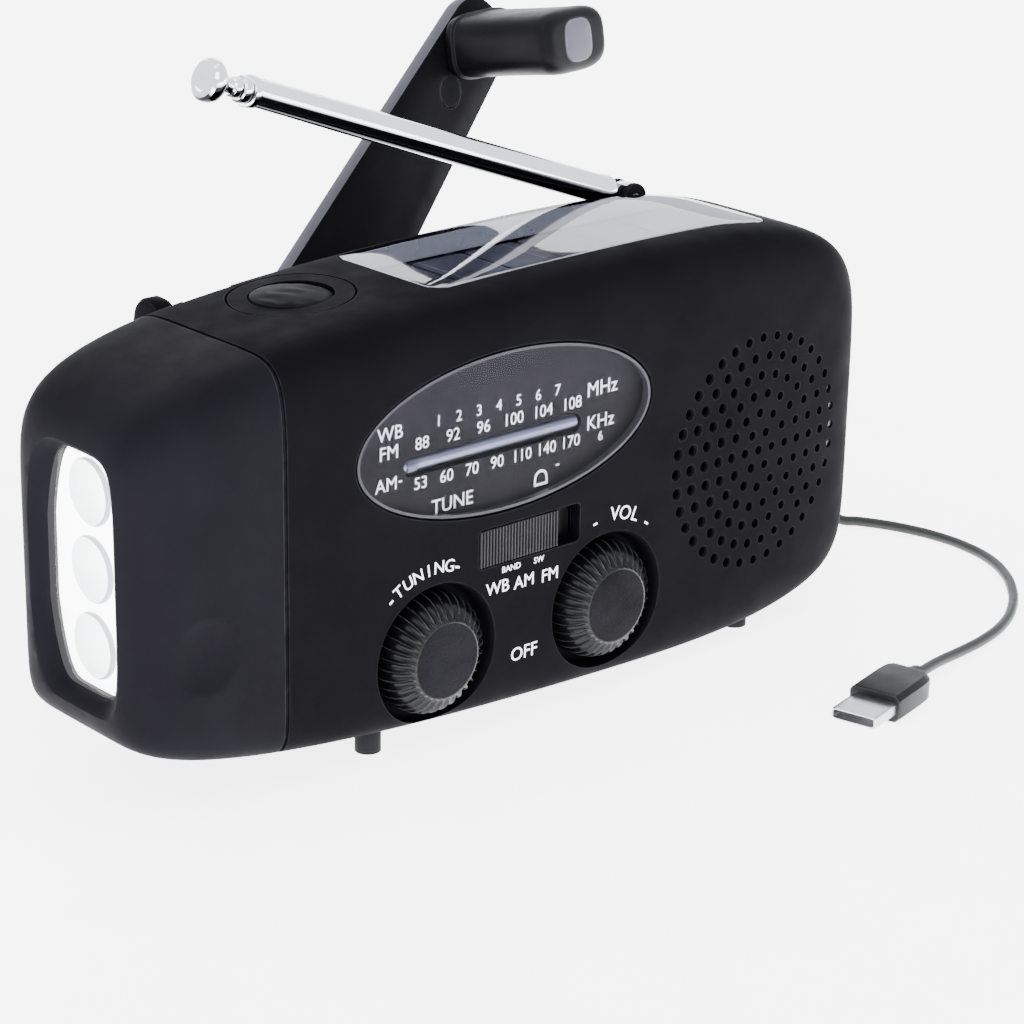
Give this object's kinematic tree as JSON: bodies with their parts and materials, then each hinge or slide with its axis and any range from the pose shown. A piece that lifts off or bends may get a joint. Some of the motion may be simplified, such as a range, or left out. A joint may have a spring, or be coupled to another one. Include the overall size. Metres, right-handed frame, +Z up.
{
  "type": "emergency radio",
  "caption": "Hand-crank emergency radio with a torch head, dial window, knobs, solar panel on top, folding crank on the back, telescopic aerial and a charging lead.",
  "frame": {"origin": "on the table under the middle of the feet", "axes": "+X along the radio away from the torch head, -Y the way the dial faces, +Z up"},
  "size_m": [0.1598, 0.0972, 0.0902],
  "materials": {
    "case_black": "soft-touch matt",
    "head_charcoal": "fine matt",
    "clear_lens": "polished",
    "dial_glass": "smoked, polished",
    "solar_glass": "polished",
    "reflector": "vacuum plated",
    "led_white": "clear epoxy",
    "circuit_board": "solder mask",
    "dial_card": "printed",
    "pointer_red": "satin",
    "solar_cells": "satin",
    "plated_steel": "zinc plated",
    "paper_cone": "fibrous",
    "capacitor_white": "moulded",
    "component_grey": "moulded",
    "copper_wire": "enamelled",
    "battery_wrap": "shrink film",
    "cover_rubber": "matt",
    "gear_white": "moulded",
    "crank_charcoal": "fine spark texture",
    "cap_grey": "satin",
    "chrome": "polished",
    "plug_black": "moulded",
    "lead_jacket": "matt"
  },
  "bodies": {
    "case": {"front_case": "case_black", "rear_case": "case_black", "torch_head": "head_charcoal", "torch_lens": "clear_lens", "torch_reflector": "reflector", "torch_leds": "led_white", "led_board": "circuit_board", "dial_window": "dial_glass", "dial_scale": "dial_card", "button_bezel": "case_black", "button_spring": "plated_steel", "solar_cover": "solar_glass", "solar_panel": "solar_cells", "speaker_frame": "plated_steel", "speaker_cone": "paper_cone", "main_board": "circuit_board", "tuning_capacitor": "capacitor_white", "volume_control": "component_grey", "band_switch": "plated_steel", "torch_switch": "component_grey", "ferrite_rod": "component_grey", "antenna_coil": "copper_wire", "battery": "battery_wrap", "usb_socket": "plated_steel", "charge_socket": "plated_steel", "gearbox_plate": "plated_steel", "idler_axle": "plated_steel", "generator_can": "plated_steel", "antenna_bracket": "head_charcoal", "antenna_pin": "plated_steel", "strap_lug": "case_black", "feet": "cover_rubber", "case_screws": "plated_steel", "head_screws": "plated_steel", "usb_plug": "plug_black", "charge_lead": "lead_jacket", "device_plug": "plug_black"},
    "pointer": {"dial_pointer": "pointer_red"},
    "tuning": {"tuning_knob": "case_black"},
    "volume": {"volume_knob": "case_black"},
    "band": {"band_slider": "head_charcoal"},
    "button": {"torch_button": "case_black"},
    "cover": {"port_cover": "cover_rubber"},
    "crank": {"crank_hub": "crank_charcoal", "drive_gear": "gear_white", "crank_hinge_pin": "plated_steel"},
    "idler": {"idler_gear": "gear_white"},
    "rotor": {"generator_rotor": "plated_steel"},
    "arm": {"crank_arm": "crank_charcoal", "grip_axle": "plated_steel"},
    "grip": {"crank_grip": "crank_charcoal", "grip_end_cap": "cap_grey"},
    "aerial": {"antenna_knuckle": "chrome", "antenna_tube": "chrome"},
    "aerial_2": {"antenna_section_2": "chrome"},
    "aerial_3": {"antenna_section_3": "chrome"},
    "aerial_rod": {"antenna_rod": "chrome", "antenna_tip": "chrome"}
  },
  "joints": [
    {"name": "tuning_turn", "type": "hinge", "parent": "case", "child": "tuning", "pos_m": [-0.0196, -0.0173, 0.0138], "axis": [0, 1, 0], "range_deg": [0, 180]},
    {"name": "pointer_slide", "type": "slide", "parent": "case", "child": "pointer", "axis": [1, 0, 0], "range_m": [0, 0.0295]},
    {"name": "volume_turn", "type": "hinge", "parent": "case", "child": "volume", "pos_m": [0.0114, -0.0173, 0.0138], "axis": [0, 1, 0], "range_deg": [0, 270]},
    {"name": "band_slide", "type": "slide", "parent": "case", "child": "band", "axis": [1, 0, 0], "range_m": [0, 0.0038]},
    {"name": "button_press", "type": "slide", "parent": "case", "child": "button", "axis": [0, 0, -1], "range_m": [0, 0.0015], "stiffness_N_per_m": 800, "springref_m": -0.0004, "deforming": ["button_spring"]},
    {"name": "cover_swing", "type": "hinge", "parent": "case", "child": "cover", "pos_m": [0.0422, 0.0168, 0.0252], "axis": [0, 0, -1], "range_deg": [0, 110]},
    {"name": "crank_turn", "type": "hinge", "parent": "case", "child": "crank", "pos_m": [-0.0179, 0.0173, 0.037], "axis": [0, 1, 0], "continuous": true},
    {"name": "idler_spin", "type": "hinge", "parent": "case", "child": "idler", "pos_m": [-0.0039, 0.012, 0.037], "axis": [0, 1, 0], "continuous": true},
    {"name": "rotor_spin", "type": "hinge", "parent": "case", "child": "rotor", "pos_m": [0.0061, 0.009, 0.037], "axis": [0, 1, 0], "continuous": true},
    {"name": "crank_fold", "type": "hinge", "parent": "crank", "child": "arm", "pos_m": [-0.0179, 0.0226, 0.037], "axis": [-0.6211, 0, 0.7837], "range_deg": [-15, 165]},
    {"name": "grip_spin", "type": "hinge", "parent": "arm", "child": "grip", "pos_m": [0.03622, 0.04111, 0.0799], "axis": [-0.2028, 0.9659, -0.1608], "continuous": true},
    {"name": "aerial_tilt", "type": "hinge", "parent": "case", "child": "aerial", "pos_m": [0.0448, 0.0154, 0.0601], "axis": [0, 1, 0], "range_deg": [-19.7, 120]},
    {"name": "aerial_slide_2", "type": "slide", "parent": "aerial", "child": "aerial_2", "axis": [-0.9415, 0, 0.3371], "range_m": [0, 0.06]},
    {"name": "aerial_slide_3", "type": "slide", "parent": "aerial_2", "child": "aerial_3", "axis": [-0.9415, 0, 0.3371], "range_m": [0, 0.06]},
    {"name": "aerial_slide_4", "type": "slide", "parent": "aerial_3", "child": "aerial_rod", "axis": [-0.9415, 0, 0.3371], "range_m": [0, 0.06]}
  ],
  "couplings": [
    {"joint": "pointer_slide", "follows": "tuning_turn", "m_per_rad": 0.0093901},
    {"joint": "idler_spin", "follows": "crank_turn", "ratio": -2.3333},
    {"joint": "rotor_spin", "follows": "crank_turn", "ratio": 7},
    {"joint": "aerial_slide_3", "follows": "aerial_slide_2", "ratio": 1},
    {"joint": "aerial_slide_4", "follows": "aerial_slide_2", "ratio": 1}
  ]
}
